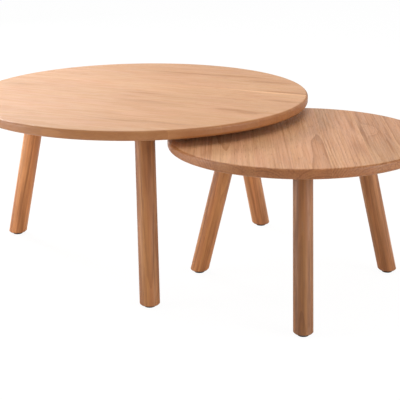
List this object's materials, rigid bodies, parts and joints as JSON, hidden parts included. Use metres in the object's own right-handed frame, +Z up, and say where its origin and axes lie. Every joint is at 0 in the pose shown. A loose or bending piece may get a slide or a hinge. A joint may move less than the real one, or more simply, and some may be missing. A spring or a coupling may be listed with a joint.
{
  "type": "nesting coffee tables",
  "caption": "Round solid-wood coffee tables, a large one and a lower one that slides under it, each on splayed round legs.",
  "frame": {"origin": "middle of the floor rectangle that both tables cover, on the floor", "axes": "+X from the large table's centre to the small table's centre, along which the small table slides; +Z up"},
  "size_m": [1.281, 0.9, 0.45],
  "materials": {
    "large_top_wood": "oiled light hardwood, satin",
    "small_top_wood": "oiled light hardwood, satin",
    "leg_wood": "oiled hardwood, satin",
    "batten_wood": "sanded hardwood",
    "plate_steel": "zinc plated",
    "screw_zinc": "zinc plated",
    "glide_plastic": "moulded"
  },
  "bodies": {
    "large_table": {"large_top_board_1": "large_top_wood", "large_top_board_2": "large_top_wood", "large_top_board_3": "large_top_wood", "large_top_board_4": "large_top_wood", "large_top_board_5": "large_top_wood", "large_top_board_6": "large_top_wood", "large_top_board_7": "large_top_wood", "large_top_board_8": "large_top_wood", "large_top_board_9": "large_top_wood", "large_batten_1": "batten_wood", "large_batten_2": "batten_wood", "large_leg_1": "leg_wood", "large_leg_2": "leg_wood", "large_leg_3": "leg_wood", "large_leg_plate_1": "plate_steel", "large_leg_plate_2": "plate_steel", "large_leg_plate_3": "plate_steel", "large_glide_1": "glide_plastic", "large_glide_2": "glide_plastic", "large_glide_3": "glide_plastic", "large_batten_screws": "screw_zinc", "large_plate_screws": "screw_zinc", "large_leg_screws": "screw_zinc", "large_glide_screws": "screw_zinc"},
    "small_table": {"small_top_board_1": "small_top_wood", "small_top_board_2": "small_top_wood", "small_top_board_3": "small_top_wood", "small_top_board_4": "small_top_wood", "small_top_board_5": "small_top_wood", "small_top_board_6": "small_top_wood", "small_top_board_7": "small_top_wood", "small_batten_1": "batten_wood", "small_batten_2": "batten_wood", "small_leg_1": "leg_wood", "small_leg_2": "leg_wood", "small_leg_3": "leg_wood", "small_leg_plate_1": "plate_steel", "small_leg_plate_2": "plate_steel", "small_leg_plate_3": "plate_steel", "small_glide_1": "glide_plastic", "small_glide_2": "glide_plastic", "small_glide_3": "glide_plastic", "small_batten_screws": "screw_zinc", "small_plate_screws": "screw_zinc", "small_leg_screws": "screw_zinc", "small_glide_screws": "screw_zinc"}
  },
  "joints": [
    {"name": "nest_slide", "type": "slide", "parent": "large_table", "child": "small_table", "axis": [1, 0, 0], "range_m": [-0.03, 0.3]}
  ]
}
